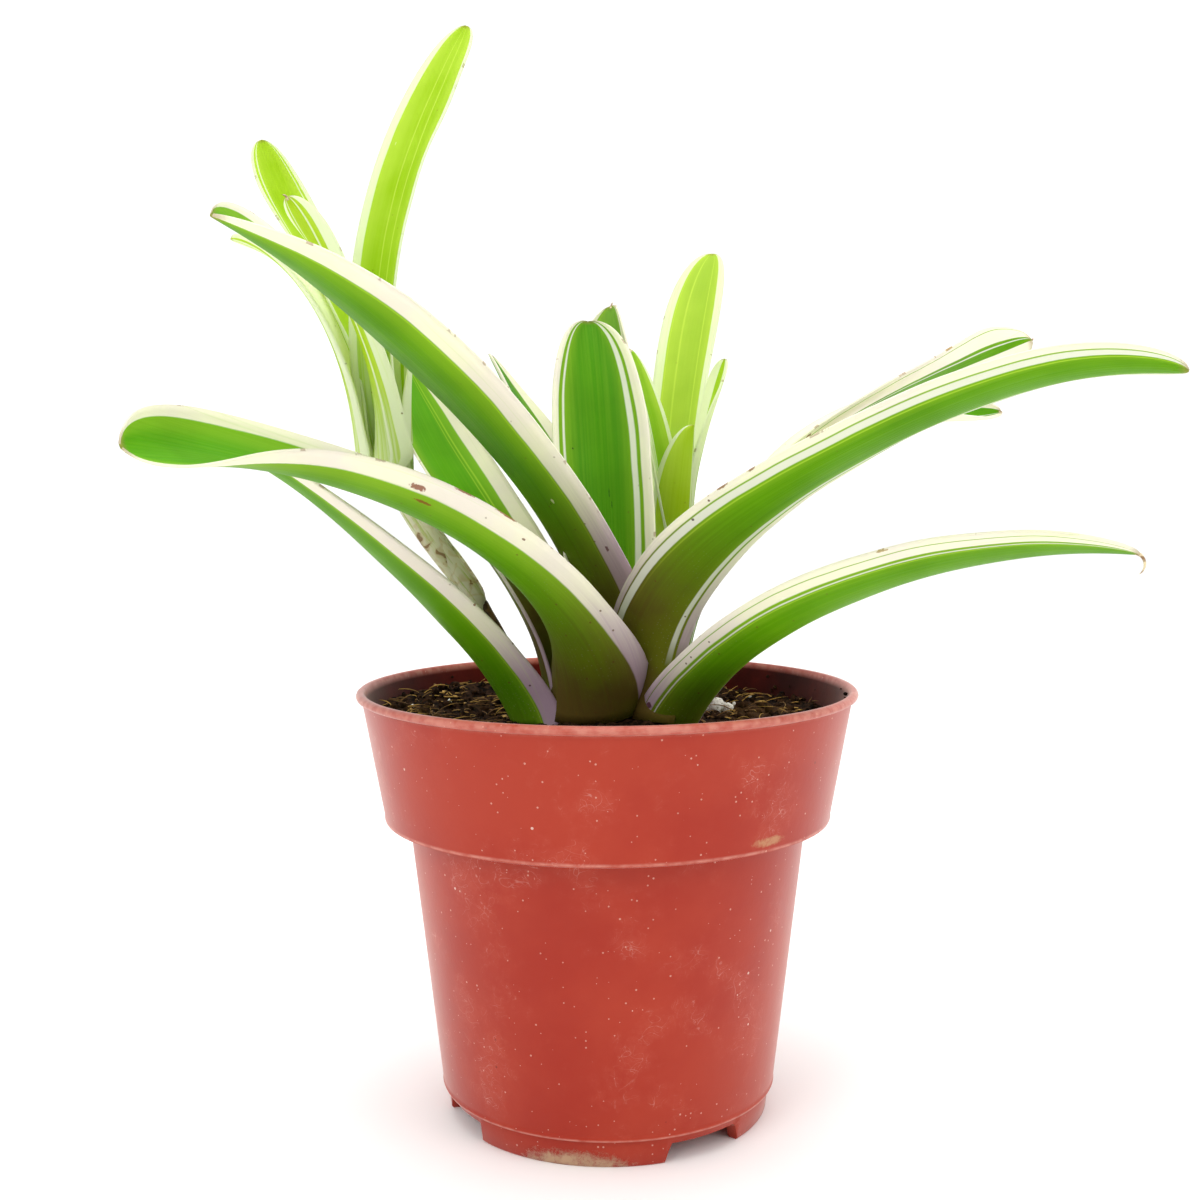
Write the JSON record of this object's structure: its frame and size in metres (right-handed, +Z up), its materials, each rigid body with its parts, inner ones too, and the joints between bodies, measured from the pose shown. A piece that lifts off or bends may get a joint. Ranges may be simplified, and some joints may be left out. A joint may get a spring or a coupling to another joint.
{
  "type": "potted bromeliad",
  "caption": "Variegated strap-leaved rosette with two stolon offsets, growing in peat in a tapered thin-walled nursery pot with a collar and a notched foot.",
  "frame": {"origin": "middle of the footprint of the whole plant and pot, on the surface that the pot stands on", "axes": "+Z up along the pot, -Y towards the front of the plant, +X to the right seen from the front"},
  "size_m": [0.2124, 0.1598, 0.2651],
  "materials": {
    "pot_plastic": "satin moulded polypropylene, brick red, scuffed and dusty",
    "peat": "moist dark peat with fibres",
    "rootstock": "woody brown, matte",
    "leaf": "smooth waxy green with cream margins and fine lengthwise stripes, purple-brown at the sheath",
    "offset_leaf": "smooth thin bright green with cream margins",
    "stolon": "brown skinned stem",
    "bract": "dry papery tan sheath with green and brown streaks"
  },
  "bodies": {
    "root": {"pot": "pot_plastic", "soil": "peat", "rootstock": "rootstock", "leaf_front_left": "leaf", "leaf_low_right": "leaf", "leaf_low_left": "leaf", "leaf_long_right": "leaf", "leaf_high_left": "leaf", "leaf_centre": "leaf", "leaf_wide_back_left": "leaf", "leaf_under_right": "leaf", "leaf_back_right": "leaf", "leaf_far_back": "leaf", "leaf_back_left": "leaf", "left_stolon": "stolon", "right_stolon": "stolon", "left_lower_bract": "bract", "left_upper_bract": "bract", "left_offset_curled_leaf": "offset_leaf", "left_offset_folded_leaf": "offset_leaf", "left_offset_tall_leaf": "offset_leaf", "left_offset_blunt_leaf": "offset_leaf", "left_offset_side_sheath": "offset_leaf", "right_offset_sheath": "offset_leaf", "right_offset_tall_leaf": "offset_leaf", "right_offset_inner_leaf": "offset_leaf", "right_offset_small_leaf": "offset_leaf"}
  },
  "joints": []
}
